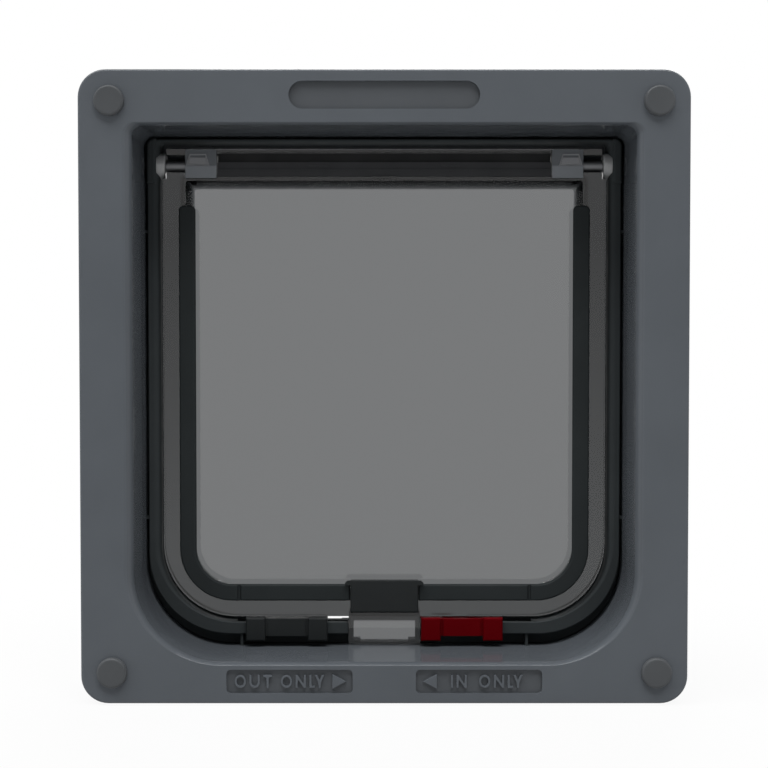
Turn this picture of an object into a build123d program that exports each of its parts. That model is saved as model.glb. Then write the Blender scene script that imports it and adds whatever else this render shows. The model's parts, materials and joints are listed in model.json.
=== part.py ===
"""Cat flap for a door panel: two frames, a hung clear flap, and two sliding one-way latches.

Millimetres. X runs to the right as seen from indoors, Y runs outdoors through the door, Z is up.
The origin is the middle of the indoor flange, on the indoor face of the door.
"""
import os
from math import cos, radians, sin

from build123d import *

# Flanges and door
flange_width = 198.6
flange_height = 206.6
flange_depth = 10.0
flange_corner = 9.0
skin = 2.6
edge_round = 0.8
mouth_flare = 2.8
mouth_end_flare = 0.8
flare_steps = 4
door_thickness = 28.0
outer_flange_depth = 8.0

# Ribs and marks of the flanges
rib_width = 2.0
rib_spread = 50.0
rib_setback = 0.5
pill_length = 62.0
pill_height = 9.0
pill_inset = 8.3
pill_depth = 1.2
label_length = 41.3
label_height = 7.8
label_spread = 31.0
label_inset = 7.3
label_depth = 1.0
label_corner = 1.5

# Tunnel, set in from the edges of the flange
side_band = 17.1
top_band = 17.8
bottom_band = 13.2
tunnel_top_corner = 3.5
tunnel_bottom_corner = 29.0
tunnel_wall = 2.0
sleeve_gap = 0.5
sleeve_wall = 1.8
sleeve_lap = 20.0
seat_lip = 2.2
seat_lip_depth = 1.5
hood_depth = 2.0
hood_gap = 0.6
hood_lap = 1.0
outer_mouth_round = 1.6

# Corner screws and their caps
screw_inset = 10.3
screw_radius = 1.9
screw_head_radius = 3.8
screw_head_height = 2.8
screw_clearance = 0.3
screw_end_gap = 3.0
pilot_end_gap = 2.0
cross_length = 4.0
cross_width = 0.9
cross_depth = 1.5
counterbore_radius = 4.1
counterbore_depth = 6.0
boss_radius = 6.0
outer_boss_radius = 5.5
cap_radius = 4.95
cap_proud = 1.7
cap_plug = 2.4
cap_round = 0.8

# Flap carrier inside the tunnel
carrier_gap = 1.0
carrier_side = 4.2
carrier_top_bar = 1.1
carrier_front = 17.0
carrier_depth = 6.0
carrier_web = 2.0
carrier_flare = 2.4
carrier_end_flare = 0.4
carrier_edge = 0.5
ring_top_corner = 2.5
opening_corner = 1.5
web_fit = 0.15
pivot_block_below = 6.2
pivot_block_wall = 1.0
pivot_block_round = 0.8
pivot_block_inset = 1.2
web_side_lap = 0.5
rail_lift = 4.2
rail_height = 4.3
rail_lip = 1.2
rail_groove = 0.8
rail_slot = 25.2
rail_groove_half = 62.0
rail_under_half = 48.0
web_gap = 0.55
web_dip = 0.4
web_dip_left = 20.5
web_dip_right = 29.2
nib_width = 0.9
nib_setback = 0.8
nib_high = 53.0
nib_down = 45.6
nib_spread = 49.3
keeper_x = -19.0
keeper_length = 5.8
keeper_height = 2.6
keeper_depth = 5.3
keeper_wall = 1.0
keeper_roof = 0.8
keeper_floor = 0.5
keeper_drop = 0.4
keeper_rim = 0.2

# Flap
flap_gap = 1.0
flap_drop_gap = 1.94
flap_top_gap = 2.3
flap_corner = 25.0
flap_top_corner = 1.0
rim_thickness = 3.7
pane_thickness = 2.2
tray_depth = 4.6
tray_draft = 2.5
tray_wall = 2.2
tray_sill = 0.8
tray_inset = 8.0
tray_corner = 17.0
tray_top_corner = 0.8
hull_top_corner = 2.0
tray_gap = 0.6
tray_drop = 0.3
pivot_drop = 9.9
pivot_y = 21.2
lug_radius = 4.7
lug_outer_inset = 8.0
lug_length = 10.8
lug_wall = 2.3
lug_boss = 3.2
lug_side_wall = 1.2
lug_top_wall = 1.0
boss_wall = 0.4
ear_height = 2.1
ear_gap = 0.6
pad_half = 4.3
pad_neck = 2.9
pad_proud = 1.0
pad_shoulder = 0.6
strip_wall = 1.0
strip_plate = 1.2
strip_lift = 5.0
strip_rise = 0.7
strip_top_wall = 1.1
strip_proud = 0.2
bead_proud = 0.5
bead_width = 0.5
clip_spread = 22.7
clip_half = 3.1
clip_height = 1.3

# Hinge pins and bushes
pin_root_radius = 2.0
pin_radius = 2.4
journal_radius = 2.0
pin_foot_gap = 0.4
pin_collar_gap = 0.4
pin_tip_gap = 0.4
running_clearance = 0.05
bush_flange_radius = 4.5
bush_radius = 3.1
bush_pocket = 1.5
bush_proud = 1.8
bush_round = 0.5
slip = 0.1

# Seals, magnet and tab
seal_width = 5.6
seal_inset = 5.7
seal_proud = 1.7
seal_top_drop = 13.9
seal_corner = 18.0
seal_end_round = 1.6
seal_round = 0.6
seam_run = 2.3
seam_gap = 0.8
housing_half = 11.7
housing_lip_half = 13.5
housing_proud = 3.0
housing_round = 0.6
housing_rise = 1.5
housing_lip = 1.5
housing_lip_chamfer = 0.8
cover_inset = 0.7
cover_depth = 2.2
cover_round = 0.5
magnet_length = 16.0
magnet_height = 4.0
magnet_rise = 1.9
tab_half = 12.4
tab_setback = 3.0
tab_lap = 1.46
tab_recess = 0.5
tab_border = 1.7
tab_head = 2.25
tab_foot = 4.1
tab_foot_height = 1.6
tab_sole = 0.75
tab_floor_gap = 0.25
tab_side_gap = 0.12
cheek_width = 2.4

# Latches
latch_length = 28.1
latch_block = 6.7
latch_clear = 0.3
latch_front_gap = 0.2
latch_wall = 1.8
latch_cap = 1.3
latch_sole = 1.7
latch_round = 0.5
latch_tab_gap = 0.5
latch_hook = 0.6
latch_hook_gap = 0.2
latch_bar_lap = 3.7
latch_bar_step = 0.9
latch_bar_drop = 0.3
latch_ridge_gap = 1.0
latch_ridge_step = 0.3
out_latch_gap = 7.2
bolt_reach = 4.0
bolt_thickness = 2.0

# Derived positions
tunnel_half = flange_width / 2 - side_band
tunnel_top = flange_height / 2 - top_band
tunnel_floor = bottom_band - flange_height / 2
front = -flange_depth
screw_x = flange_width / 2 - screw_inset
screw_z = flange_height / 2 - screw_inset
outer_back = door_thickness + outer_flange_depth
web_front = carrier_front + carrier_depth
web_back = web_front + carrier_web
spigot_end = web_back + seat_lip_depth
ring_half = tunnel_half - carrier_gap
ring_top = tunnel_top - carrier_gap
opening_half = ring_half - carrier_side
opening_top = ring_top - carrier_top_bar
rail_bottom = tunnel_floor + rail_lift
rail_top = rail_bottom + rail_height
flap_half = opening_half - flap_gap
flap_bottom = rail_top + flap_drop_gap
pivot_z = tunnel_top - pivot_drop
flap_top = opening_top - flap_top_gap
rim_front = carrier_front
rim_back = rim_front + rim_thickness
lug_outer = flap_half - lug_outer_inset
lug_inner = lug_outer - lug_length
boss_inner = lug_outer - lug_boss
shoulder_z = pivot_z - lug_radius
ear_end = opening_half - bush_proud - ear_gap
ear_low = flap_top - ear_height
notch_low = pivot_z - pin_radius - slip
hood_low = flap_top - hood_lap
tray_half = flap_half - tray_inset
tray_top = shoulder_z - tray_gap
tray_bottom = flap_bottom + tray_inset - tray_drop
tray_back = rim_front + tray_depth + pane_thickness
seal_half = flap_half - seal_inset
seal_low = flap_bottom + seal_inset - slip
seal_seam = seal_half - seal_corner - seam_run
tab_front = rim_front + tab_setback
tab_back = web_back
tab_top = flap_bottom + tab_lap
tab_bottom = tunnel_floor + tab_floor_gap
latch_back = tab_front - latch_tab_gap
latch_front = carrier_front - latch_front_gap - latch_wall
latch_top = rail_top + latch_clear + latch_cap
latch_low = rail_bottom - latch_clear - latch_sole
CORNERS = [(x, z) for x in (-screw_x, screw_x) for z in (-screw_z, screw_z)]
os.makedirs("parts", exist_ok=True)


def at(y):
    """The plane across the tunnel at depth y, with X to the right and Z up."""
    return Plane.XZ.offset(-y)


def arch(half, top, bottom, top_radius, bottom_radius):
    """An upright outline whose top and bottom corners have their own radii."""
    with BuildSketch() as outline:
        with Locations((0, (top + bottom) / 2)):
            Rectangle(2 * half, top - bottom)
        fillet(outline.vertices().group_by(Axis.Y)[-1], top_radius)
        fillet(outline.vertices().group_by(Axis.Y)[0], bottom_radius)
    return outline.sketch


def grown_tunnel(by):
    """The tunnel outline offset outwards, or inwards where by is negative."""
    return arch(
        tunnel_half + by,
        tunnel_top + by,
        tunnel_floor - by,
        max(tunnel_top_corner + by, 1.0),
        tunnel_bottom_corner + by,
    )


def block(x0, x1, y0, y1, z0, z1, mode=Mode.ADD):
    """A box between limits in the row's frame."""
    with Locations(((x0 + x1) / 2, (y0 + y1) / 2, (z0 + z1) / 2)):
        Box(x1 - x0, y1 - y0, z1 - z0, mode=mode)


def flare(half, top, bottom, top_radius, bottom_radius, y, depth, side, ends):
    """Cuts a rounded flare into an upright opening, widest at y and true to the outline at y + depth."""
    sections = []
    for step in range(flare_steps + 1):
        turn = radians(90 * step / flare_steps)
        side_by, ends_by = side * (1 - sin(turn)), ends * (1 - sin(turn))
        with BuildSketch(at(y + depth * (1 - cos(turn)))) as section:
            add(arch(
                half + side_by, top + ends_by, bottom - ends_by,
                top_radius + ends_by, bottom_radius + side_by,
            ))
        sections.append(section.sketch.face())
    loft(sections, mode=Mode.SUBTRACT)


def rod_x(radius, x0, x1, y, z, mode=Mode.ADD):
    """A round bar along X."""
    with Locations(((x0 + x1) / 2, y, z)):
        Cylinder(radius, abs(x1 - x0), rotation=(0, 90, 0), mode=mode)


def rod_y(radius, y0, y1, x, z, mode=Mode.ADD):
    """A round bar along Y."""
    with Locations((x, (y0 + y1) / 2, z)):
        Cylinder(radius, y1 - y0, rotation=(90, 0, 0), mode=mode)


tunnel = grown_tunnel(0)
spigot = grown_tunnel(tunnel_wall)
sleeve_inside = grown_tunnel(tunnel_wall + sleeve_gap)
sleeve = grown_tunnel(tunnel_wall + sleeve_gap + sleeve_wall)
seat = grown_tunnel(-seat_lip)
ring_outside = arch(ring_half, ring_top, rail_bottom, ring_top_corner, tunnel_bottom_corner - carrier_gap)
ring_inside = arch(opening_half, opening_top, rail_top, opening_corner, flap_corner + flap_gap)
web_inside = arch(
    opening_half - web_side_lap, opening_top, flap_bottom - web_gap,
    opening_corner, flap_corner + flap_gap,
)
flap_outline = arch(flap_half, flap_top, flap_bottom, flap_top_corner, flap_corner)
tray_mouth = arch(tray_half, tray_top, tray_bottom, tray_top_corner, tray_corner)
tray_floor = arch(
    tray_half - tray_draft,
    tray_top - tray_draft,
    tray_bottom + tray_draft,
    tray_top_corner,
    tray_corner - tray_draft,
)
tray_hull = arch(
    tray_half + tray_wall,
    tray_top + tray_wall,
    tray_bottom - tray_sill,
    hull_top_corner,
    tray_corner + tray_sill,
)
seal_outside = arch(seal_half, tray_top, seal_low, 1.0, seal_corner)
seal_inside = arch(
    seal_half - seal_width,
    tray_top + 1,
    seal_low + seal_width,
    1.0,
    seal_corner - seal_width,
)
seal_end = pivot_z - seal_top_drop

# Indoor frame: flange shell, tunnel and the lip that seats the carrier
with BuildPart() as interior_frame:
    with BuildSketch(at(front)):
        RectangleRounded(flange_width, flange_height, flange_corner)
    extrude(amount=-flange_depth)
    with BuildSketch(at(front)):
        add(spigot)
    extrude(amount=front - spigot_end)
    with BuildSketch(at(front)):
        add(tunnel)
    extrude(amount=front - spigot_end, mode=Mode.SUBTRACT)
    flare(
        tunnel_half, tunnel_top, tunnel_floor, tunnel_top_corner, tunnel_bottom_corner,
        front, mouth_flare, mouth_flare, mouth_end_flare,
    )
    face = interior_frame.faces().sort_by(Axis.Y)[0]
    fillet(face.outer_wire().edges(), edge_round)
    with BuildSketch(at(0)):
        RectangleRounded(flange_width - 2 * skin, flange_height - 2 * skin, flange_corner - skin)
        add(spigot, mode=Mode.SUBTRACT)
    extrude(amount=flange_depth - skin, mode=Mode.SUBTRACT)
    rib = rib_width / 2
    rim_x, rim_z = (flange_width - skin) / 2, (flange_height - skin) / 2
    for x in (-rib_spread, 0, rib_spread):
        block(x - rib, x + rib, front + skin, -rib_setback, tunnel_top + 1, rim_z)
        block(x - rib, x + rib, front + skin, -rib_setback, -rim_z, tunnel_floor - 1)
    for z in (-rib_spread, 0, rib_spread):
        block(tunnel_half + 1, rim_x, front + skin, -rib_setback, z - rib, z + rib)
        block(-rim_x, -tunnel_half - 1, front + skin, -rib_setback, z - rib, z + rib)
    for x, z in CORNERS:
        rod_y(boss_radius, front + 1, 0, x, z)
    with BuildSketch(at(front)):
        add(tunnel)
    extrude(amount=front - web_back, mode=Mode.SUBTRACT)
    for x, z in CORNERS:
        rod_y(counterbore_radius, front - 1, front + counterbore_depth, x, z, mode=Mode.SUBTRACT)
        rod_y(screw_radius + screw_clearance, front, 1, x, z, mode=Mode.SUBTRACT)
    with BuildSketch(at(front)):
        with Locations((0, flange_height / 2 - pill_inset)):
            SlotOverall(pill_length, pill_height)
    extrude(amount=-pill_depth, mode=Mode.SUBTRACT)
    with BuildSketch(at(front)):
        label_z = label_inset - flange_height / 2
        with Locations((-label_spread, label_z), (label_spread, label_z)):
            RectangleRounded(label_length, label_height, label_corner)
    extrude(amount=-label_depth, mode=Mode.SUBTRACT)
    with BuildSketch(at(web_back)):
        add(spigot)
        add(seat, mode=Mode.SUBTRACT)
    extrude(amount=-seat_lip_depth)
    lip_left = tab_half + tab_side_gap + cheek_width + slip
    block(-lip_left, web_dip_right, web_back - 1, spigot_end + 1, tunnel_floor, rail_bottom, Mode.SUBTRACT)
interior_frame.part.label = "interior_frame"
export_step(interior_frame.part, "parts/interior_frame.step")

# Outdoor frame: flange shell and a sleeve that slides over the indoor tunnel
with BuildPart() as exterior_frame:
    with BuildSketch(at(door_thickness)):
        RectangleRounded(flange_width, flange_height, flange_corner)
    extrude(amount=-outer_flange_depth)
    with BuildSketch(at(outer_back - skin)):
        add(sleeve)
    extrude(amount=outer_back - skin - spigot_end + sleeve_lap)
    with BuildSketch(at(outer_back)):
        add(sleeve_inside)
    extrude(amount=outer_back - spigot_end + sleeve_lap, mode=Mode.SUBTRACT)
    face = exterior_frame.faces().sort_by(Axis.Y)[-1]
    fillet(face.inner_wires()[0].edges(), outer_mouth_round)
    face = exterior_frame.faces().sort_by(Axis.Y)[-1]
    fillet(face.outer_wire().edges(), edge_round)
    with BuildSketch(at(door_thickness)):
        RectangleRounded(flange_width - 2 * skin, flange_height - 2 * skin, flange_corner - skin)
        add(sleeve, mode=Mode.SUBTRACT)
    extrude(amount=skin - outer_flange_depth, mode=Mode.SUBTRACT)
    rib_back = outer_back - skin
    rib_half = tunnel_half + tunnel_wall + sleeve_gap + 1
    rib_top = tunnel_top + tunnel_wall + sleeve_gap + 1
    rib_low = tunnel_floor - tunnel_wall - sleeve_gap - 1
    for x in (-rib_spread, 0, rib_spread):
        block(x - rib, x + rib, door_thickness + rib_setback, rib_back, rib_top, rim_z)
        block(x - rib, x + rib, door_thickness + rib_setback, rib_back, -rim_z, rib_low)
    for z in (-rib_spread, 0, rib_spread):
        block(rib_half, rim_x, door_thickness + rib_setback, rib_back, z - rib, z + rib)
        block(-rim_x, -rib_half, door_thickness + rib_setback, rib_back, z - rib, z + rib)
    for x, z in CORNERS:
        rod_y(outer_boss_radius, door_thickness, outer_back - 1, x, z)
    with BuildSketch(at(outer_back - skin)):
        add(sleeve_inside)
    extrude(amount=outer_flange_depth - skin, mode=Mode.SUBTRACT)
    with BuildSketch(at(spigot_end + hood_gap)):
        add(sleeve)
        with Locations((0, hood_low)):
            Rectangle(flange_width, flange_height, align=(Align.CENTER, Align.MIN), mode=Mode.INTERSECT)
    extrude(amount=-hood_depth)
    for x, z in CORNERS:
        rod_y(screw_radius + slip, door_thickness - 1, outer_back - pilot_end_gap, x, z, mode=Mode.SUBTRACT)
exterior_frame.part.label = "exterior_frame"
export_step(exterior_frame.part, "parts/exterior_frame.step")

# Four screws through the door, heads down in the counterbores
with BuildPart() as frame_screws:
    head_seat = front + counterbore_depth
    head_top = head_seat - screw_head_height
    for x, z in CORNERS:
        rod_y(screw_radius, head_seat - 1, outer_back - screw_end_gap, x, z)
        rod_y(screw_head_radius, head_top, head_seat, x, z)
        for dx, dz in ((cross_length / 2, cross_width / 2), (cross_width / 2, cross_length / 2)):
            block(x - dx, x + dx, head_top - 1, head_top + cross_depth, z - dz, z + dz, Mode.SUBTRACT)
frame_screws.part.label = "frame_screws"
export_step(frame_screws.part, "parts/frame_screws.step")

# Push-in caps over the screw heads, one node each
cap_names = {(-1, 1): "top_left", (1, 1): "top_right", (-1, -1): "bottom_left", (1, -1): "bottom_right"}
for (side, level), corner_name in cap_names.items():
    with BuildPart() as screw_cap:
        rod_y(cap_radius, front - cap_proud, front, side * screw_x, level * screw_z)
        fillet(screw_cap.faces().sort_by(Axis.Y)[0].edges(), cap_round)
        rod_y(counterbore_radius - slip, front, front + cap_plug, side * screw_x, level * screw_z)
    screw_cap.part.label = "screw_cap_" + corner_name
    export_step(screw_cap.part, "parts/screw_cap_" + corner_name + ".step")

# Carrier: the inner ring that hangs the flap and whose bottom run is the latch rail
with BuildPart() as flap_carrier:
    with BuildSketch(at(carrier_front)):
        add(ring_outside)
        add(ring_inside, mode=Mode.SUBTRACT)
    extrude(amount=-carrier_depth)
    face = flap_carrier.faces().sort_by(Axis.Y)[0]
    fillet(face.outer_wire().edges(), carrier_edge)
    flare(
        opening_half, opening_top, rail_top, opening_corner, flap_corner + flap_gap,
        carrier_front, carrier_flare, carrier_flare, carrier_end_flare,
    )
    block_front = pivot_y - bush_flange_radius - slip - pivot_block_wall
    with BuildSketch(at(block_front)):
        add(ring_outside)
        add(ring_inside, mode=Mode.SUBTRACT)
        with Locations((0, pivot_z - pivot_block_below)):
            Rectangle(flange_width, flange_height, align=(Align.CENTER, Align.MAX), mode=Mode.SUBTRACT)
            Rectangle(2 * (opening_half + pivot_block_inset), flange_height, mode=Mode.SUBTRACT)
    extrude(amount=block_front - web_front)
    block_faces = flap_carrier.faces().filter_by(Axis.Y).group_by(Axis.Y)[0]
    fillet(block_faces.edges(), pivot_block_round)
    with BuildSketch(at(web_front)):
        add(grown_tunnel(-web_fit))
        add(web_inside, mode=Mode.SUBTRACT)
    extrude(amount=-carrier_web)
    nib, nib_front = nib_width / 2, carrier_front + nib_setback
    for side in (-1, 1):
        x0, x1 = sorted((side * (ring_half - 1), side * (tunnel_half - slip)))
        for z in (nib_high, -nib_down):
            block(x0, x1, nib_front, web_front, z - nib, z + nib)
        x = side * nib_spread
        block(x - nib, x + nib, nib_front, web_front, tunnel_floor + slip, rail_bottom + 1)
    groove_front = carrier_front + rail_lip
    groove_low = rail_top - rail_groove
    block(-rail_groove_half, rail_groove_half, groove_front, web_front, groove_low, rail_top, Mode.SUBTRACT)
    block(
        -rail_under_half, rail_under_half, groove_front, web_front,
        rail_bottom, rail_bottom + rail_groove, Mode.SUBTRACT,
    )
    block(
        -web_dip_left, web_dip_right, web_front, web_back + 1,
        rail_top - web_dip, flap_bottom, Mode.SUBTRACT,
    )
    block(
        -rail_slot / 2, rail_slot / 2, carrier_front - 1, web_back + 1,
        tunnel_floor - 1, rail_top + 1, Mode.SUBTRACT,
    )
    for side in (-1, 1):
        pocket = side * (opening_half + bush_pocket)
        rod_x(bush_flange_radius + slip, side * (opening_half - 1), pocket, pivot_y, pivot_z, Mode.SUBTRACT)
        rod_x(
            bush_radius + slip, side * opening_half, side * (ring_half + 1),
            pivot_y, pivot_z, Mode.SUBTRACT,
        )
    cheek = tab_half + tab_side_gap
    block(
        -cheek - cheek_width, -cheek, web_back - 1, spigot_end - slip,
        tunnel_floor + slip, rail_top - web_dip,
    )
    keeper_half, keeper_front = keeper_length / 2 + slip, web_front + keeper_floor
    keeper_low = rail_bottom - keeper_drop
    keeper_top = keeper_low + keeper_height + 2 * slip
    block(
        keeper_x - keeper_half - keeper_wall, keeper_x + keeper_half + keeper_wall,
        web_front, keeper_front + keeper_depth + keeper_rim,
        keeper_low - keeper_wall, keeper_top + keeper_roof,
    )
    block(
        keeper_x - keeper_half, keeper_x + keeper_half,
        keeper_front, keeper_front + keeper_depth + 2, keeper_low, keeper_top, Mode.SUBTRACT,
    )
flap_carrier.part.label = "flap_carrier"
export_step(flap_carrier.part, "parts/flap_carrier.step")

# Fixed magnet in the back of the carrier
with BuildPart() as frame_magnet:
    block(
        keeper_x - keeper_length / 2, keeper_x + keeper_length / 2,
        keeper_front, keeper_front + keeper_depth, keeper_low + slip, keeper_top - slip,
    )
frame_magnet.part.label = "frame_magnet"
export_step(frame_magnet.part, "parts/frame_magnet.step")

# Bushes in the carrier and pins in the flap
for side, side_name in ((-1, "left"), (1, "right")):
    shoulder = side * (opening_half + bush_pocket)
    with BuildPart() as hinge_bush:
        rod_x(bush_flange_radius, side * (opening_half - bush_proud), shoulder, pivot_y, pivot_z)
        fillet(hinge_bush.edges().filter_by(GeomType.CIRCLE), bush_round)
        rod_x(bush_radius, shoulder - side * (bush_round + slip), side * ring_half, pivot_y, pivot_z)
        rod_x(
            journal_radius + running_clearance,
            side * (opening_half - bush_proud - 1), side * (ring_half + 1),
            pivot_y, pivot_z, Mode.SUBTRACT,
        )
    hinge_bush.part.label = "hinge_bush_" + side_name
    export_step(hinge_bush.part, "parts/hinge_bush_" + side_name + ".step")

    with BuildPart() as hinge_pin:
        pin_end = opening_half - bush_proud - pin_collar_gap
        pin_foot = side * (boss_inner + pin_foot_gap)
        rod_x(pin_root_radius, pin_foot, side * (lug_outer + 0.5), pivot_y, pivot_z)
        rod_x(pin_radius, side * lug_outer, side * pin_end, pivot_y, pivot_z)
        rod_x(journal_radius, side * (pin_end - 0.5), side * (ring_half - pin_tip_gap), pivot_y, pivot_z)
    hinge_pin.part.label = "hinge_pin_" + side_name
    export_step(hinge_pin.part, "parts/hinge_pin_" + side_name + ".step")

# Flap: one clear moulding with a thick rim, a drafted tray, a pane and two hinge lugs
strip_low = shoulder_z + strip_rise
strip_split = strip_low + strip_lift
strip_high = flap_top - strip_top_wall
strip_half = lug_inner - slip
with BuildPart() as flap_panel:
    with BuildSketch(at(rim_front)):
        add(flap_outline)
        for side in (-1, 1):
            with Locations((side * (flap_half + ear_end) / 2, (shoulder_z + flap_top) / 2)):
                Rectangle(flap_half - ear_end, flap_top - shoulder_z, mode=Mode.SUBTRACT)
            with Locations((side * (ear_end + lug_outer) / 2, (notch_low + ear_low) / 2)):
                Rectangle(ear_end - lug_outer, ear_low - notch_low, mode=Mode.SUBTRACT)
    extrude(amount=-rim_thickness)
    with BuildSketch(at(rim_front)):
        add(tray_hull)
    extrude(amount=rim_front - tray_back)
    for side in (-1, 1):
        rod_x(lug_radius, side * boss_inner, side * lug_outer, pivot_y, pivot_z)
        x0, x1 = sorted((side * (lug_inner + lug_side_wall), side * (boss_inner - boss_wall)))
        block(
            x0, x1, rim_front + lug_wall, rim_back + 1,
            shoulder_z + lug_side_wall, flap_top - lug_top_wall, Mode.SUBTRACT,
        )
        with BuildSketch(at(rim_front)):
            with Locations((side * (lug_outer - pad_half), 0)):
                with BuildLine():
                    Polyline(
                        (-pad_half, shoulder_z + slip), (-pad_half, pivot_z + pad_shoulder),
                        (-pad_neck, ear_low), (pad_neck, ear_low),
                        (pad_half, pivot_z + pad_shoulder), (pad_half, shoulder_z + slip),
                        close=True,
                    )
                make_face()
        extrude(amount=pad_proud)
    with BuildSketch(at(rim_front)):
        add(tray_mouth)
    with BuildSketch(at(rim_front + tray_depth)):
        add(tray_floor)
    loft(ruled=True, mode=Mode.SUBTRACT)
    block(-lug_inner, lug_inner, rim_front - 1, rim_back - strip_wall, strip_low, strip_high, Mode.SUBTRACT)
    for side in (-1, 1):
        rod_x(
            pin_root_radius + slip / 2, side * (boss_inner + pin_foot_gap), side * (lug_outer + 1),
            pivot_y, pivot_z, Mode.SUBTRACT,
        )
    magnet_x = magnet_length / 2 + slip
    magnet_low = flap_bottom + magnet_rise
    block(
        -magnet_x, magnet_x, rim_front - 1, rim_back + 1,
        magnet_low, magnet_low + magnet_height + 2 * slip, Mode.SUBTRACT,
    )
    block(
        -tab_half - slip, tab_half + slip, tab_front - slip, rim_back + 1,
        flap_bottom - 1, tab_top, Mode.SUBTRACT,
    )
flap_panel.part.label = "flap_panel"
export_step(flap_panel.part, "parts/flap_panel.step")

# Weather strip across the flap between the lugs
with BuildPart() as top_strip:
    strip_back = rim_back - strip_wall
    block(-strip_half, strip_half, strip_back - strip_plate, strip_back, strip_low, strip_high - slip)
    block(-strip_half, strip_half, rim_front - strip_proud, strip_back, strip_low, strip_split)
    bead_low = (strip_low + strip_split - bead_width) / 2
    bead_front = rim_front - bead_proud
    block(-strip_half, strip_half, bead_front, rim_front + strip_proud, bead_low, bead_low + bead_width)
    for x in (-clip_spread, clip_spread):
        clip_low = strip_split - clip_height
        block(x - clip_half, x + clip_half, bead_front, rim_front + 1, clip_low, strip_split)
top_strip.part.label = "top_strip"
export_step(top_strip.part, "parts/top_strip.step")

# Seal round the window in four lengths
seal_runs = {
    "seal_left": (-seal_half - 1, -seal_seam - seam_gap / 2, seal_end),
    "seal_right": (seal_seam + seam_gap / 2, seal_half + 1, seal_end),
    "seal_bottom_left": (-seal_seam + seam_gap / 2, -housing_half - slip, seal_low + seal_width + 1),
    "seal_bottom_right": (housing_half + slip, seal_seam - seam_gap / 2, seal_low + seal_width + 1),
}
for seal_name, (x0, x1, z1) in seal_runs.items():
    with BuildPart() as seal:
        with BuildSketch(at(rim_front)):
            add(seal_outside)
            add(seal_inside, mode=Mode.SUBTRACT)
            with Locations(((x0 + x1) / 2, (seal_low - 1 + z1) / 2)):
                Rectangle(x1 - x0, z1 - seal_low + 1, mode=Mode.INTERSECT)
        extrude(amount=seal_proud)
        if z1 == seal_end:
            fillet(seal.edges().filter_by(Axis.Y).group_by(Axis.Z)[-1], seal_end_round)
        crown = seal.faces().sort_by(Axis.Y)[0]
        fillet(crown.edges(), seal_round)
    seal.part.label = seal_name
    export_step(seal.part, "parts/" + seal_name + ".step")

# Magnet, its housing on the front of the flap and its cover behind
housing_low = tab_top + 2 * slip
housing_high = seal_low + seal_width + housing_rise
housing_front = rim_front - housing_proud
lip_top_half = housing_lip_half - housing_lip_chamfer
lip_shoulder, lip_low = housing_high - housing_lip_chamfer, housing_high - housing_lip
with BuildPart() as magnet_housing:
    block(-housing_half, housing_half, housing_front, rim_front, housing_low, housing_high - 1.0)
    fillet(magnet_housing.faces().sort_by(Axis.Y)[0].edges(), housing_round)
    with BuildSketch(at(rim_front - seal_proud - slip)):
        with BuildLine():
            Polyline(
                (-lip_top_half, housing_high), (lip_top_half, housing_high),
                (housing_lip_half, lip_shoulder), (housing_lip_half, lip_low),
                (-housing_lip_half, lip_low), (-housing_lip_half, lip_shoulder),
                close=True,
            )
        make_face()
    extrude(amount=housing_proud - seal_proud - slip)
    block(-housing_half, housing_half, housing_front + 1, rim_front, housing_high - 1.6, housing_high)
magnet_housing.part.label = "magnet_housing"
export_step(magnet_housing.part, "parts/magnet_housing.step")

with BuildPart() as magnet_cover:
    cover_low, cover_high = tab_top, tray_bottom - tray_sill - slip
    cover_half = housing_half - cover_inset
    block(-cover_half, cover_half, rim_back, rim_back + cover_depth, cover_low, cover_high)
    fillet(magnet_cover.faces().sort_by(Axis.Y)[-1].edges(), cover_round)
magnet_cover.part.label = "magnet_cover"
export_step(magnet_cover.part, "parts/magnet_cover.step")

with BuildPart() as flap_magnet:
    block(
        -magnet_length / 2, magnet_length / 2, rim_front, rim_back,
        magnet_low + slip, magnet_low + slip + magnet_height,
    )
flap_magnet.part.label = "flap_magnet"
export_step(flap_magnet.part, "parts/flap_magnet.step")

# Clear lock tab that hangs through the slot in the rail
with BuildPart() as lock_tab:
    block(-tab_half, tab_half, tab_front, tab_back, tab_bottom, tab_top)
    hole_half = tab_half - tab_border
    hole_top = flap_bottom - tab_head
    feet_top, sole_top = tab_bottom + tab_foot_height, tab_bottom + tab_sole
    pane_front = tab_front + tab_recess
    pane_back = pane_front + pane_thickness
    for y0, y1 in ((tab_front - 1, pane_front), (pane_back, tab_back + 1)):
        block(-hole_half, hole_half, y0, y1, feet_top, hole_top, Mode.SUBTRACT)
        block(tab_foot - tab_half, tab_half - tab_foot, y0, y1, sole_top, hole_top, Mode.SUBTRACT)
lock_tab.part.label = "lock_tab"
export_step(lock_tab.part, "parts/lock_tab.step")

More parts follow.
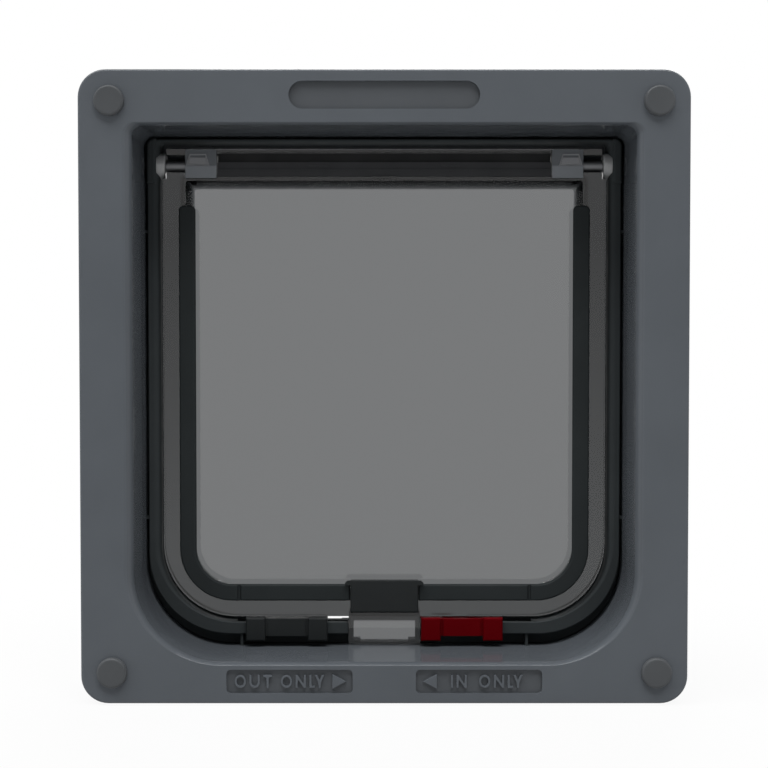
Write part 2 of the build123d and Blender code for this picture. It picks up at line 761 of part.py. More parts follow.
# Latches: channels that clip round the rail, two gripping blocks and a lower bar between them
out_inner = -tab_half - out_latch_gap
in_inner = tab_half + latch_clear
bolt_front = web_back + latch_clear
bolt_back = bolt_front + bolt_thickness
latch_ends = {"out_only_latch": out_inner - latch_length, "in_only_latch": in_inner}
for latch_name, x0 in latch_ends.items():
    x1 = x0 + latch_length
    with BuildPart() as latch:
        for a, b in ((x0, x0 + latch_block), (x1 - latch_block, x1)):
            block(a, b, latch_front, latch_front + latch_wall, latch_low, latch_top)
            block(a, b, latch_front, latch_back, latch_top - latch_cap, latch_top)
            block(a, b, latch_front, latch_back, latch_low, rail_bottom - latch_clear)
            lip = groove_front + latch_hook_gap
            block(a, b, lip, latch_back, rail_top - latch_hook, latch_top)
            block(a, b, lip, latch_back, latch_low, rail_bottom + latch_hook)
        fillet(latch.faces().filter_by(Axis.Y).group_by(Axis.Y)[0].edges(), latch_round)
        bar_low = rail_bottom - latch_clear
        bar_top, bar_front = latch_top - latch_bar_drop, latch_front + latch_bar_step
        bar = latch_block - latch_bar_lap
        block(x0 + bar, x1 - bar, bar_front, latch_front + latch_wall, bar_low, bar_top)
        block(x0 + bar, x1 - bar, bar_front, latch_back, latch_top - latch_cap, bar_top)
        ridge = latch_block + latch_ridge_gap
        block(x0 + ridge, x1 - ridge, latch_front + latch_ridge_step, bar_front + slip, bar_low, bar_top)
        if latch_name == "in_only_latch":
            strap = x0 + bolt_reach
            block(strap, strap + latch_block, latch_back - 1, bolt_back, latch_top - latch_cap, bar_top)
    latch.part.label = latch_name
    export_step(latch.part, "parts/" + latch_name + ".step")

# Bolt plate under the strap of the red latch, which slides behind the tab
with BuildPart() as in_only_bolt:
    block(
        tab_half + tab_side_gap, in_inner + bolt_reach + latch_block, bolt_front, bolt_back,
        tunnel_floor + latch_clear, latch_top - latch_cap,
    )
in_only_bolt.part.label = "in_only_bolt"
export_step(in_only_bolt.part, "parts/in_only_bolt.step")
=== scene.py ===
"""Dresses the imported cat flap: materials, lettering, light and the photograph's camera. Metres, +Z up."""
import json
import math

import bmesh
import bpy
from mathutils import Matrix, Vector


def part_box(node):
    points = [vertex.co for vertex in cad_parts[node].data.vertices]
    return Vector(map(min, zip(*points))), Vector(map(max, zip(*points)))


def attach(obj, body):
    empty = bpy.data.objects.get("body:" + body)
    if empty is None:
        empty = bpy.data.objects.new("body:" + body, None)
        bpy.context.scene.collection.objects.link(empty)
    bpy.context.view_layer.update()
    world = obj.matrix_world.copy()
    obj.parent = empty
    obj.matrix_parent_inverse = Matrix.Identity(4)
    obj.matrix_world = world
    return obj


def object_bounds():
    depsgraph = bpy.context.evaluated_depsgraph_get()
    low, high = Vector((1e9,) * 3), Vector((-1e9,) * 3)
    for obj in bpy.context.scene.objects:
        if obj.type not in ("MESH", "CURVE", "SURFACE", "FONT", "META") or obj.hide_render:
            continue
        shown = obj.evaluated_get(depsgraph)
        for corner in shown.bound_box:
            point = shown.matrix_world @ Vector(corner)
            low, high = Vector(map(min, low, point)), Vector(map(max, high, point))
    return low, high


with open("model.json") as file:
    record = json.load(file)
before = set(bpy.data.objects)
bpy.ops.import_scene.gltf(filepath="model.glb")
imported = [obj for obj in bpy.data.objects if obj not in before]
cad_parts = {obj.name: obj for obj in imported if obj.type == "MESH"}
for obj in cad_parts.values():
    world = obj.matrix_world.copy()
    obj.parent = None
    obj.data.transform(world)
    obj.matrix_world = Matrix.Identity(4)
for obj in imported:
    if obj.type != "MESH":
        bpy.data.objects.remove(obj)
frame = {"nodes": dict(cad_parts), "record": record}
cad_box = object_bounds()
nodes = frame["nodes"]
scene = bpy.context.scene
MM = 0.001

# Faces of the CAD parts that pieces and colours are set from
FACE_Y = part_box("interior_frame")[0][1]
PAD_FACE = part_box("flap_panel")[0][1]
STRIP_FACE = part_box("top_strip")[0][1]


# Noise of the materials, as scale and detail, and their relief, as bump strength and depth
CLOUD_NOISE = (38.0, 4.0)
SHEEN_NOISE = (120.0, 3.0)
FRAME_SHEEN_NOISE = (110.0, 3.0)
FRAME_GRAIN_NOISE = (2400.0, 2.0)
CLEAR_NOISE = (60.0, 3.0)
LINE_NOISE = (900.0, 2.0)
GRAIN_DETAIL = 2.0
RUBBER_GRAIN = 1800.0
NOISE_ROUGHNESS = 0.55
GRAIN_RELIEF = (0.35, 0.04 * MM)
LINE_RELIEF = (0.2, 0.02 * MM)
MOULDED_TINT = 0.08
SHEEN_SPREAD = 0.07

# Frame plastic: how square to the door a place is, from wall to face, decides its sheen and grain
FRAME_TINT = 0.05
FRAME_SPECULAR = 0.2
FRAME_SHEEN_SPREAD = 0.02
WALL_SHEEN, FACE_SHEEN = 0.09, 0.52
SHEEN_TURN = (0.9, 0.995)
WALL_GRAIN = 0.1
GRAIN_TURN = (0.2, 0.85)
# Painted shade: recess floors that face the door are darkened by this share, from a depth and a facing
RECESS_SHADE_DEPTH = (FACE_Y + 0.4 * MM, FACE_Y + 0.9 * MM)
RECESS_SHADE_TURN = (0.9, 0.98)
RECESS_PAINTED_SHADE = (0.85, 0.83, 0.81, 1)

# Smoked clear plastic, with painted shade on the rim that starts at a half width and deepens upwards
SMOKE_COLOUR = (0.03, 0.045, 0.055, 1)
SMOKE_DENSITY = 860.0
CLEAR_IOR = 1.49
CLEAR_ROUGHNESS = 0.012
RIM_EDGE = (67.5 * MM, 69.0 * MM)
RIM_SHADE_RISE = (-60.0 * MM, 50.0 * MM)
RIM_PAINTED_SHADE = (0.3, 0.31, 0.32)

# Drawn metal
LINE_SHADE = 0.85
LINE_SHEEN = (-0.05, 0.08)

# Where painted shade starts: on the recessed back of the top strip and on the upper part of the hinge covers
STRIP_SHADE_CHANGE = (STRIP_FACE + 0.6 * MM, STRIP_FACE + 1.4 * MM)
COVER_SHADE_SPLIT = 75.2 * MM
COVER_SHADE_CHANGE = (COVER_SHADE_SPLIT - 0.3 * MM, COVER_SHADE_SPLIT + 0.3 * MM)


# Node helpers

def node(tree, kind, **properties):
    """A node with its properties set by name."""
    made = tree.nodes.new(kind)
    for key, value in properties.items():
        setattr(made, key, value)
    return made


def new_material(name):
    """A node material with its tree and its Principled shader."""
    material = bpy.data.materials.new(name)
    material.use_nodes = True
    tree = material.node_tree
    shader = next(n for n in tree.nodes if n.type == "BSDF_PRINCIPLED")
    return material, tree, shader


def material_output(tree):
    """The output node of a material."""
    return next(n for n in tree.nodes if n.type == "OUTPUT_MATERIAL")


def axes(tree, kind):
    """X, Y and Z of the object's own coordinates or normals."""
    coords = node(tree, "ShaderNodeTexCoord")
    split = node(tree, "ShaderNodeSeparateXYZ")
    tree.links.new(coords.outputs[kind], split.inputs["Vector"])
    return split.outputs


def reckoned(tree, operation, first, second=None):
    """The result of a sum on one or two values."""
    made = node(tree, "ShaderNodeMath", operation=operation)
    tree.links.new(first, made.inputs[0])
    if second is not None:
        tree.links.new(second, made.inputs[1])
    return made.outputs[0]


def noise(tree, scale, detail, stretch=(1, 1, 1)):
    """Noise in the object's own coordinates."""
    coords = node(tree, "ShaderNodeTexCoord")
    mapping = node(tree, "ShaderNodeMapping")
    mapping.inputs["Scale"].default_value = stretch
    made = node(tree, "ShaderNodeTexNoise")
    made.inputs["Scale"].default_value = scale
    made.inputs["Detail"].default_value = detail
    made.inputs["Roughness"].default_value = NOISE_ROUGHNESS
    tree.links.new(coords.outputs["Object"], mapping.inputs["Vector"])
    tree.links.new(mapping.outputs["Vector"], made.inputs["Vector"])
    return made.outputs["Fac"]


def ranged(tree, value, low, high, from_low=0.3, from_high=0.7):
    """A value stretched from one range to another, which by default is the middle of a noise."""
    made = node(tree, "ShaderNodeMapRange")
    made.inputs["From Min"].default_value = from_low
    made.inputs["From Max"].default_value = from_high
    made.inputs["To Min"].default_value = low
    made.inputs["To Max"].default_value = high
    tree.links.new(value, made.inputs["Value"])
    return made.outputs["Result"]


def colour_sockets(sockets):
    """The colour sockets of a mix node."""
    return [s for s in sockets if s.type == "RGBA"]


def blended(tree, factor, first, second):
    """Two colours blended by a factor."""
    made = node(tree, "ShaderNodeMix", data_type="RGBA")
    colour_a, colour_b = colour_sockets(made.inputs)
    colour_a.default_value = (*first, 1)
    colour_b.default_value = (*second, 1)
    tree.links.new(factor, made.inputs["Factor"])
    return colour_sockets(made.outputs)[0]


def clouded(tree, colour, tint):
    """A colour that drifts a little darker and lighter."""
    dark, light = (tuple(c * share for c in colour) for share in (1 - tint, 1 + tint))
    return blended(tree, ranged(tree, noise(tree, *CLOUD_NOISE), 0, 1), dark, light)


def uneven_sheen(tree, shader, roughness, spread):
    """Roughness that varies a little from place to place."""
    sheen = ranged(tree, noise(tree, *SHEEN_NOISE), roughness - spread, roughness + spread)
    tree.links.new(sheen, shader.inputs["Roughness"])


def bumped(tree, shader, height, strength, distance):
    """Bump on the shader from a height."""
    made = node(tree, "ShaderNodeBump")
    made.inputs["Strength"].default_value = strength
    made.inputs["Distance"].default_value = distance
    tree.links.new(height, made.inputs["Height"])
    tree.links.new(made.outputs["Normal"], shader.inputs["Normal"])


def mixed(tree, factor, first, second):
    """Two shaders mixed by a factor."""
    made = node(tree, "ShaderNodeMixShader")
    for socket, link in zip(made.inputs, (factor, first, second)):
        tree.links.new(link, socket)
    return made.outputs["Shader"]


# Materials

def moulded(name, colour, roughness, spread=SHEEN_SPREAD, grain=2600.0, specular=0.5):
    """Moulded plastic or rubber: fine eroded grain, faint cloudiness, uneven sheen."""
    material, tree, shader = new_material(name)
    tree.links.new(clouded(tree, colour, MOULDED_TINT), shader.inputs["Base Color"])
    uneven_sheen(tree, shader, roughness, spread)
    shader.inputs["Specular IOR Level"].default_value = specular
    bumped(tree, shader, noise(tree, grain, GRAIN_DETAIL), *GRAIN_RELIEF)
    return material


def frame_plastic(name, colour):
    """Frame plastic: a grained face, painted shade on the floors of its recesses, and polished walls where it
    turns into the tunnel.
    """
    material, tree, shader = new_material(name)
    shader.inputs["Specular IOR Level"].default_value = FRAME_SPECULAR
    facing = reckoned(tree, "ABSOLUTE", axes(tree, "Normal")["Y"])
    # Painted shade on the recess floors that face the door
    recess_shade = reckoned(
        tree, "MULTIPLY",
        ranged(tree, axes(tree, "Object")["Y"], 0, 1, *RECESS_SHADE_DEPTH),
        ranged(tree, facing, 0, 1, *RECESS_SHADE_TURN),
    )
    shade = node(tree, "ShaderNodeMix", data_type="RGBA", blend_type="MULTIPLY")
    shade_in, shade_by = colour_sockets(shade.inputs)
    shade_by.default_value = RECESS_PAINTED_SHADE
    tree.links.new(recess_shade, shade.inputs["Factor"])
    tree.links.new(clouded(tree, colour, FRAME_TINT), shade_in)
    tree.links.new(colour_sockets(shade.outputs)[0], shader.inputs["Base Color"])
    sheen = reckoned(
        tree, "ADD",
        ranged(tree, facing, WALL_SHEEN, FACE_SHEEN, *SHEEN_TURN),
        ranged(tree, noise(tree, *FRAME_SHEEN_NOISE), -FRAME_SHEEN_SPREAD, FRAME_SHEEN_SPREAD),
    )
    tree.links.new(sheen, shader.inputs["Roughness"])
    grain = reckoned(
        tree, "MULTIPLY",
        noise(tree, *FRAME_GRAIN_NOISE),
        ranged(tree, facing, WALL_GRAIN, 1.0, *GRAIN_TURN),
    )
    bumped(tree, shader, grain, *GRAIN_RELIEF)
    return material


def painted_shade_along(name, axis, shade_change, first, second, roughness, specular):
    """Dark plastic whose colour changes between two places along one axis of the part; the second, darker
    colour is painted shade.
    """
    material, tree, shader = new_material(name)
    shader.inputs["Specular IOR Level"].default_value = specular
    # Painted shade: the colour turns to the darker one past this change
    into_shade = ranged(tree, axes(tree, "Object")[axis], 0, 1, *shade_change)
    tree.links.new(blended(tree, into_shade, first, second), shader.inputs["Base Color"])
    uneven_sheen(tree, shader, roughness, SHEEN_SPREAD)
    bumped(tree, shader, noise(tree, RUBBER_GRAIN, GRAIN_DETAIL), *GRAIN_RELIEF)
    return material


def smoked(name):
    """Clear plastic with smoke in its depth, so thick rims look darker than the thin pane, and painted shade
    on the rim that is deepest high up.
    """
    material, tree, shader = new_material(name)
    place = axes(tree, "Object")
    # Painted shade on the rim, deepening upwards
    rim_shade = reckoned(
        tree, "MULTIPLY",
        ranged(tree, reckoned(tree, "ABSOLUTE", place["X"]), 0, 1, *RIM_EDGE),
        ranged(tree, place["Z"], 0, 1, *RIM_SHADE_RISE),
    )
    tree.links.new(blended(tree, rim_shade, (1, 1, 1), RIM_PAINTED_SHADE), shader.inputs["Base Color"])
    shader.inputs["Transmission Weight"].default_value = 1.0
    shader.inputs["IOR"].default_value = CLEAR_IOR
    haze = ranged(tree, noise(tree, *CLEAR_NOISE), 0.0, CLEAR_ROUGHNESS)
    tree.links.new(haze, shader.inputs["Roughness"])
    smoke = node(tree, "ShaderNodeVolumeAbsorption")
    smoke.inputs["Color"].default_value = SMOKE_COLOUR
    smoke.inputs["Density"].default_value = SMOKE_DENSITY
    tree.links.new(smoke.outputs["Volume"], material_output(tree).inputs["Volume"])
    return material


def metal(name, colour, roughness, stretch, edge=1.0):
    """Drawn metal with fine lines along one way, and a tint at its grazing edge."""
    material, tree, shader = new_material(name)
    shader.inputs["Metallic"].default_value = 1.0
    shader.inputs["Specular Tint"].default_value = (edge, edge, edge, 1)
    lines = noise(tree, *LINE_NOISE, stretch=stretch)
    dark = tuple(c * LINE_SHADE for c in colour)
    smoother, rougher = LINE_SHEEN
    tree.links.new(blended(tree, ranged(tree, lines, 0, 1), dark, colour), shader.inputs["Base Color"])
    tree.links.new(ranged(tree, lines, roughness + smoother, roughness + rougher), shader.inputs["Roughness"])
    bumped(tree, shader, lines, *LINE_RELIEF)
    return material


grey = frame_plastic("frame_grey", (0.080, 0.089, 0.100))
cap_grey = moulded("cap_grey", (0.064, 0.068, 0.072), 0.4, specular=0.15)
carrier_grey = moulded("carrier_grey", (0.038, 0.043, 0.045), 0.6, specular=0.02)
smoke_clear = smoked("smoked_clear")
rubber = moulded("seal_rubber", (0.0162, 0.0195, 0.0205), 0.6, grain=RUBBER_GRAIN, specular=0.12)
# The recessed back of the strip is darker: painted shade
strip_rubber = painted_shade_along(
    "strip_rubber", "Y", STRIP_SHADE_CHANGE, (0.024, 0.025, 0.027), (0.006, 0.0065, 0.007), 0.57, 0.2,
)
black = moulded("black_plastic", (0.0126, 0.0146, 0.0153), 0.38, specular=0.12)
red = moulded("red_plastic", (0.099, 0.0003, 0.0022), 0.4, specular=0.02)
steel = metal("pin_steel", (0.2, 0.204, 0.212), 0.5, (0.05, 1, 1), edge=0.05)
plated = metal("plated_steel", (0.55, 0.55, 0.52), 0.3, (1, 0.1, 1))
nickel = metal("magnet", (0.35, 0.35, 0.36), 0.28, (1, 1, 1))
nylon = moulded("nylon", (0.34, 0.345, 0.35), 0.1, spread=0.03)
# The upper part of each cover is darker: painted shade
cover_grey = painted_shade_along(
    "cover_grey", "Z", COVER_SHADE_CHANGE, (0.186, 0.2, 0.216), (0.1, 0.108, 0.118), 0.35, 0.2,
)
bridge_grey = moulded("bridge_grey", (0.2, 0.205, 0.215), 0.35, specular=0.3)
FINISH_OF_SLOT = {
    "frame_grey": grey,
    "carrier_grey": carrier_grey,
    "smoked_clear": smoke_clear,
    "seal_rubber": rubber,
    "black_plastic": black,
    "red_plastic": red,
    "pin_steel": steel,
    "plated_steel": plated,
    "magnet": nickel,
    "nylon": nylon,
}


def finish_of(name, slot):
    """The material of a CAD node: its own where it has one, or else its slot's."""
    if name == "top_strip":
        return strip_rubber
    if name.startswith("screw_cap"):
        return cap_grey
    return FINISH_OF_SLOT[slot]


for entry in frame["record"]["subparts"]:
    materials = nodes[entry["node"]].data.materials
    materials.clear()
    materials.append(finish_of(entry["node"], entry["material_slot"]))


# Raised shapes

SINK = 0.05 * MM
SOFT_EDGE = 0.1 * MM


def raise_outline(work, outline, counter, x0, z0, floor_y, rise):
    """Adds a raised shape with a softened front edge to a mesh, standing on a floor that faces indoors."""
    def row(points, y):
        return [work.verts.new((x0 + x, y, z0 + z)) for x, z in points]

    base, top = floor_y + SINK, floor_y - rise
    loops = [outline] if counter is None else [outline, counter]
    fronts, backs = [row(p, top) for p in loops], [row(p, base) for p in loops]
    edges = []
    for front_row, back_row in zip(fronts, backs):
        count = len(front_row)
        for i in range(count):
            j = (i + 1) % count
            work.faces.new((front_row[i], front_row[j], back_row[j], back_row[i]))
            edges.append(work.edges.get((front_row[i], front_row[j])))
    if counter is None:
        work.faces.new(fronts[0])
        work.faces.new(list(reversed(backs[0])))
    else:
        for outer, inner in (fronts, backs):
            for i in range(len(outer)):
                j = (i + 1) % len(outer)
                work.faces.new((outer[i], outer[j], inner[j], inner[i]))
    bmesh.ops.bevel(work, geom=edges, offset=SOFT_EDGE, segments=2, affect="EDGES", profile=0.5)


def set_down(name, work, material, body):
    """Makes the mesh into a piece that rides on a body."""
    bmesh.ops.recalc_face_normals(work, faces=work.faces)
    mesh = bpy.data.meshes.new(name)
    work.to_mesh(mesh)
    work.free()
    mesh.materials.append(material)
    piece = bpy.data.objects.new(name, mesh)
    scene.collection.objects.link(piece)
    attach(piece, body)


# Raised lettering in the two label recesses

LETTER_HEIGHT = 4.3 * MM
STROKE = 0.7 * MM
LETTER_GAP = 1.1 * MM
KERN_LY = -1.1 * MM
LABEL_Z = -96.0 * MM
LABEL_FLOOR = FACE_Y + 1.0 * MM
LETTER_RISE = 0.92 * MM
ARROW_LENGTH, ARROW_HEIGHT = 4.5 * MM, 4.9 * MM
LETTER_WIDTH = {
    "O": 3.74 * MM, "U": 3.4 * MM, "T": 2.93 * MM, "N": 3.42 * MM,
    "L": 1.8 * MM, "Y": 3.15 * MM, "I": STROKE,
}
SLANT = 1.6 * STROKE
ARM = 1.2 * STROKE
FORK = 0.42 * LETTER_HEIGHT
BOWL_STEPS = 16
RING_STEPS = 40


def arc(cx, cz, rx, rz, start, end, steps):
    """Points along part of an ellipse, with angles in turns."""
    turns = [start + (end - start) * i / steps for i in range(steps + 1)]
    return [(cx + rx * math.cos(math.tau * t), cz + rz * math.sin(math.tau * t)) for t in turns]


def letter_outlines(letter):
    """The outer outline of a capital and its counter, if it has one, from its lower left corner."""
    w, h, s = LETTER_WIDTH[letter], LETTER_HEIGHT, STROKE
    mid = w / 2
    left, right = mid - s / 2, mid + s / 2
    if letter == "I":
        return [(0, 0), (w, 0), (w, h), (0, h)], None
    if letter == "L":
        return [(0, 0), (w, 0), (w, s), (s, s), (s, h), (0, h)], None
    if letter == "T":
        bar = h - s
        return [(left, 0), (right, 0), (right, bar), (w, bar), (w, h), (0, h), (0, bar), (left, bar)], None
    if letter == "N":
        return [
            (0, 0), (s, 0), (s, h - SLANT), (w - s, 0), (w, 0),
            (w, h), (w - s, h), (w - s, SLANT), (s, h), (0, h),
        ], None
    if letter == "Y":
        return [
            (left, 0), (right, 0), (right, FORK), (w, h), (w - ARM, h),
            (mid, FORK + s), (ARM, h), (0, h), (left, FORK),
        ], None
    if letter == "U":
        bowl = arc(mid, mid, mid, mid, 0.5, 1.0, BOWL_STEPS)
        inside = arc(mid, mid, mid - s, mid - s, 1.0, 0.5, BOWL_STEPS)
        return [(0, h)] + bowl + [(w, h), (w - s, h)] + inside + [(s, h)], None
    ring = arc(mid, h / 2, mid, h / 2, 0, 1, RING_STEPS)[:-1]
    counter = arc(mid, h / 2, mid - s, h / 2 - s, 0, 1, RING_STEPS)[:-1]
    return ring, counter


def label(name, words, arrow_x, arrow_way):
    """One label: its words, each from its own start, and its arrow, as one raised moulding on the frame."""
    work = bmesh.new()
    for word, x in words.items():
        last = ""
        for letter in word:
            if last + letter == "LY":
                x += KERN_LY
            raise_outline(
                work, *letter_outlines(letter), x, LABEL_Z - LETTER_HEIGHT / 2, LABEL_FLOOR, LETTER_RISE,
            )
            x += LETTER_WIDTH[letter] + LETTER_GAP
            last = letter
    arrow = [(0, -ARROW_HEIGHT / 2), (arrow_way * ARROW_LENGTH, 0), (0, ARROW_HEIGHT / 2)][::arrow_way]
    raise_outline(work, arrow, None, arrow_x, LABEL_Z, LABEL_FLOOR, LETTER_RISE)
    set_down(name, work, grey, "frame")


label("out_only_lettering", {"OUT": -49.0 * MM, "ONLY": -33.9 * MM}, -17.0 * MM, 1)
label("in_only_lettering", {"IN": 21.8 * MM, "ONLY": 31.0 * MM}, 17.2 * MM, -1)


# Hinges: a cover on each lug, a raised edge and pad at the bearing on its upper part, a guard behind the pin

COVER_X = 62.7 * MM
COVER_HALF = 5.3 * MM
COVER_LOW = 71.1 * MM
COVER_HEIGHT = 9.7 * MM
COVER_RISE = 0.3 * MM
BRIDGE_X = 1.0 * MM
BRIDGE_LOW, BRIDGE_HIGH = 4.2 * MM, 8.2 * MM
BRIDGE_HALF_LOW, BRIDGE_HALF_HIGH = 4.1 * MM, 2.8 * MM
BRIDGE_EDGE = 0.45 * MM
BRIDGE_INSET_LOW, BRIDGE_INSET_HIGH = 1.6 * BRIDGE_EDGE, 0.6 * BRIDGE_EDGE
BRIDGE_RISE = 0.3 * MM
PAD_LOW, PAD_HIGH = 4.7 * MM, 6.95 * MM
PAD_HALF_LOW, PAD_HALF_HIGH = 3.3 * MM, 2.7 * MM
GUARD_X = 72.2 * MM
GUARD_HALF = 4.1 * MM
GUARD_DRAFT = 0.3 * MM
GUARD_LOW, GUARD_HIGH = 77.5 * MM, 80.1 * MM
GUARD_BACK = 28.9 * MM
GUARD_DEPTH = 1.4 * MM


def trapezium(centre, low, high, half_low, half_high):
    """A plate that narrows upwards."""
    return [
        (centre - half_low, low), (centre + half_low, low),
        (centre + half_high, high), (centre - half_high, high),
    ]


def hinge_cover(name, side):
    """One cover, standing on the front of its lug."""
    work = bmesh.new()
    plate = trapezium(0, 0, COVER_HEIGHT, COVER_HALF, COVER_HALF)
    raise_outline(work, plate, None, side * COVER_X, COVER_LOW, PAD_FACE, COVER_RISE)
    set_down(name, work, cover_grey, "flap")


def hinge_bridge(name, side):
    """The raised edge round the bearing and the pad inside it, on the upper part of the cover."""
    work = bmesh.new()
    bridge = trapezium(side * BRIDGE_X, BRIDGE_LOW, BRIDGE_HIGH, BRIDGE_HALF_LOW, BRIDGE_HALF_HIGH)
    inside = trapezium(
        side * BRIDGE_X, BRIDGE_LOW + BRIDGE_EDGE, BRIDGE_HIGH - BRIDGE_EDGE,
        BRIDGE_HALF_LOW - BRIDGE_INSET_LOW, BRIDGE_HALF_HIGH - BRIDGE_INSET_HIGH,
    )
    pad = trapezium(side * BRIDGE_X, PAD_LOW, PAD_HIGH, PAD_HALF_LOW, PAD_HALF_HIGH)
    for outline, counter in ((bridge, inside), (pad, None)):
        raise_outline(
            work, outline, counter, side * COVER_X, COVER_LOW, PAD_FACE - COVER_RISE, BRIDGE_RISE,
        )
    set_down(name, work, bridge_grey, "flap")


def hinge_guard(name, side):
    """A short tab on the low edge of the curtain, which closes the view past the hinge pin."""
    work = bmesh.new()
    guard = trapezium(0, GUARD_LOW, GUARD_HIGH, GUARD_HALF - GUARD_DRAFT, GUARD_HALF)
    raise_outline(work, guard, None, side * GUARD_X, 0, GUARD_BACK, GUARD_DEPTH)
    set_down(name, work, carrier_grey, "frame")


for side_name, side in (("left", -1), ("right", 1)):
    hinge_cover("hinge_cover_" + side_name, side)
    hinge_bridge("hinge_bridge_" + side_name, side)
    hinge_guard("hinge_guard_" + side_name, side)


# Low ridge between the end blocks of the red latch, as high as they are, which closes the view past it

RIDGE_X = 26.95 * MM
RIDGE_HALF = 6.95 * MM
RIDGE_LOW = -80.35 * MM
RIDGE_HIGH = -80.0 * MM
RIDGE_BACK = 19.4 * MM
RIDGE_DEPTH = 0.4 * MM


def latch_ridge(name):
    """A ridge on the back edge of the latch's top."""
    work = bmesh.new()
    ridge = trapezium(0, RIDGE_LOW, RIDGE_HIGH, RIDGE_HALF, RIDGE_HALF)
    raise_outline(work, ridge, None, RIDGE_X, 0, RIDGE_BACK, RIDGE_DEPTH)
    set_down(name, work, red, "in_latch")


latch_ridge("latch_ridge")


# Dark tongues where the lengths of seal meet

JOINT_SLACK = 0.03 * MM
JOINT_RISE = 1.2 * MM


def seal_joint(name, left_node, right_node, flat_node):
    """A tongue of rubber in the gap between two lengths of seal, a little lower than they are."""
    start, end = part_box(left_node)[1].x + JOINT_SLACK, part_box(right_node)[0].x - JOINT_SLACK
    low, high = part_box(flat_node)
    work = bmesh.new()
    tongue = [(0, 0), (end - start, 0), (end - start, high.z - low.z), (0, high.z - low.z)]
    raise_outline(work, tongue, None, start, low.z, high.y, JOINT_RISE)
    set_down(name, work, rubber, "flap")


seal_joint("seal_joint_left", "seal_left", "seal_bottom_left", "seal_bottom_left")
seal_joint("seal_joint_right", "seal_bottom_right", "seal_right", "seal_bottom_right")


# Floor and surroundings

FLOOR_CORNERS = [(-4, -4, 0), (4, -4, 0), (4, 4, 0), (-4, 4, 0)]
FLOOR_GAP = 0.5 * MM
FLOOR_PALE = 0.52
FLOOR_ROUGHNESS = 0.9
FLOOR_GLOW = (0.93, 1.0)
SHADOW_REACH = (0.1, 0.25)
WHITE = (1, 1, 1, 1)
FILL_COLOUR = (0.96, 0.98, 1.0, 1)
FILL_STRENGTH = 0.16


def seen_ray(tree):
    """One for a ray that shows the background: straight, in a gloss or through the clear flap."""
    path = node(tree, "ShaderNodeLightPath").outputs
    outright = reckoned(tree, "MAXIMUM", path["Is Camera Ray"], path["Is Glossy Ray"])
    return reckoned(tree, "MAXIMUM", outright, path["Is Transmission Ray"])


def lit_floor(name):
    """A pale floor that is seen as white, and near the object keeps its soft shadow."""
    material, tree, shader = new_material(name)
    shader.inputs["Base Color"].default_value = (FLOOR_PALE, FLOOR_PALE, FLOOR_PALE, 1)
    shader.inputs["Roughness"].default_value = FLOOR_ROUGHNESS
    shader.inputs["Specular IOR Level"].default_value = 0.0
    coords = node(tree, "ShaderNodeTexCoord")
    reach = node(tree, "ShaderNodeVectorMath", operation="LENGTH")
    tree.links.new(coords.outputs["Object"], reach.inputs[0])
    glow = node(tree, "ShaderNodeEmission")
    glow.inputs["Color"].default_value = WHITE
    glow.inputs["Strength"].default_value = 1.0
    plain = shader.outputs["BSDF"]
    far = ranged(tree, reach.outputs["Value"], *FLOOR_GLOW, *SHADOW_REACH)
    shown = mixed(tree, far, plain, glow.outputs["Emission"])
    tree.links.new(mixed(tree, seen_ray(tree), plain, shown), material_output(tree).inputs["Surface"])
    return material


def background(tree, colour, strength):
    """A background of one colour."""
    made = node(tree, "ShaderNodeBackground")
    made.inputs["Color"].default_value = colour
    made.inputs["Strength"].default_value = strength
    return made.outputs["Background"]


def white_world(name):
    """A world that is seen as white and lights the object only a little."""
    world = bpy.data.worlds.new(name)
    world.use_nodes = True
    tree = world.node_tree
    tree.nodes.clear()
    seen = background(tree, WHITE, 1.0)
    fill = background(tree, FILL_COLOUR, FILL_STRENGTH)
    output = node(tree, "ShaderNodeOutputWorld")
    tree.links.new(mixed(tree, seen_ray(tree), fill, seen), output.inputs["Surface"])
    return world


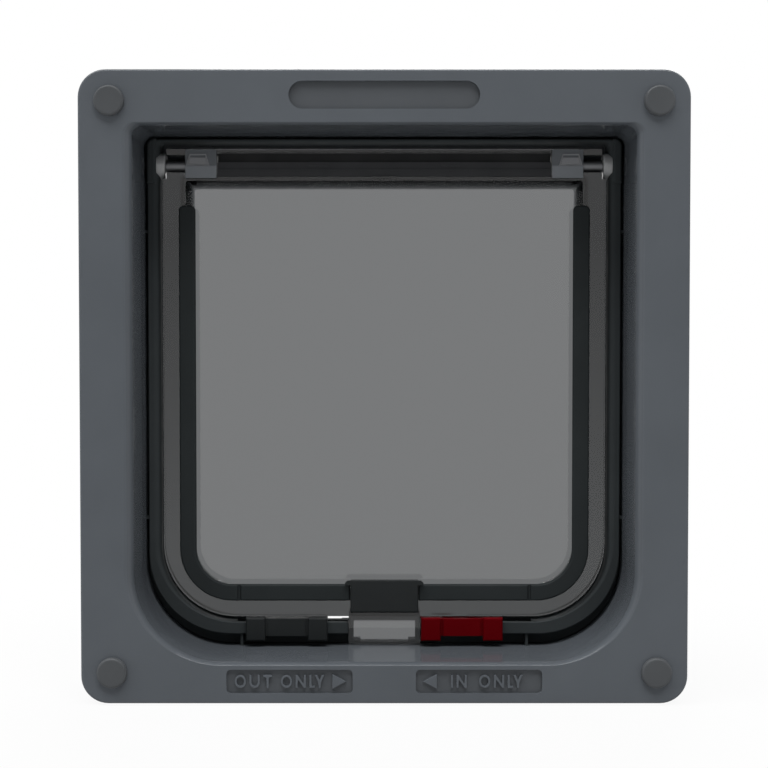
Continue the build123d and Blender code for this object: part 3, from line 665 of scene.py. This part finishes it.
floor_mesh = bpy.data.meshes.new("floor")
floor_mesh.from_pydata(FLOOR_CORNERS, [], [(0, 1, 2, 3)])
floor = bpy.data.objects.new("floor", floor_mesh)
floor.location.z = cad_box[0][2] - FLOOR_GAP
scene.collection.objects.link(floor)
floor_mesh.materials.append(lit_floor("pale_floor"))
scene.world = white_world("studio")


# Lamps, each with its position, size and power in watts, all aimed at the origin

LAMPS = {
    "key": ((-0.4, -1.05, 2.95), (4.2, 1.4), 158.0),
    "side_left": ((-1.9, -0.3, 0.1), (1.0, 1.0), 17.0),
    "side_right": ((1.9, -0.3, 0.1), (1.0, 1.0), 12.5),
    "rear": ((0.2, 1.2, 0.9), (0.9, 0.7), 13.0),
}


def softbox(name, position, size, power):
    """A large area light aimed at the origin."""
    lamp = bpy.data.lights.new(name, "AREA")
    lamp.shape = "RECTANGLE"
    lamp.size, lamp.size_y = size
    lamp.energy = power
    made = bpy.data.objects.new(name, lamp)
    made.location = position
    made.rotation_euler = (-Vector(position)).to_track_quat("-Z", "Y").to_euler()
    scene.collection.objects.link(made)
    return made


lamps = {name: softbox(name, *values) for name, values in LAMPS.items()}
lamps["side_left"].visible_glossy = False
lamps["side_right"].visible_glossy = False
lamps["rear"].visible_transmission = False


# Camera of the photograph, which looks at a point in front of the flap from a little above

CAMERA_ANGLE = math.radians(30.0)
CAMERA_TILT = math.radians(1.7)
CAMERA_REACH = 0.466
CAMERA_AIM = (-0.1 * MM, -10.0 * MM, 1.42 * MM)

camera = bpy.data.cameras.new("camera")
camera.sensor_width = 36.0
camera.angle = CAMERA_ANGLE
camera.clip_start = 0.01
camera_object = bpy.data.objects.new("camera", camera)
aim_x, aim_y, aim_z = CAMERA_AIM
camera_object.location = (
    aim_x, aim_y - CAMERA_REACH * math.cos(CAMERA_TILT), aim_z + CAMERA_REACH * math.sin(CAMERA_TILT),
)
camera_object.rotation_euler = (math.pi / 2 - CAMERA_TILT, 0, 0)
scene.collection.objects.link(camera_object)
scene.camera = camera_object
scene.view_settings.view_transform = "Standard"
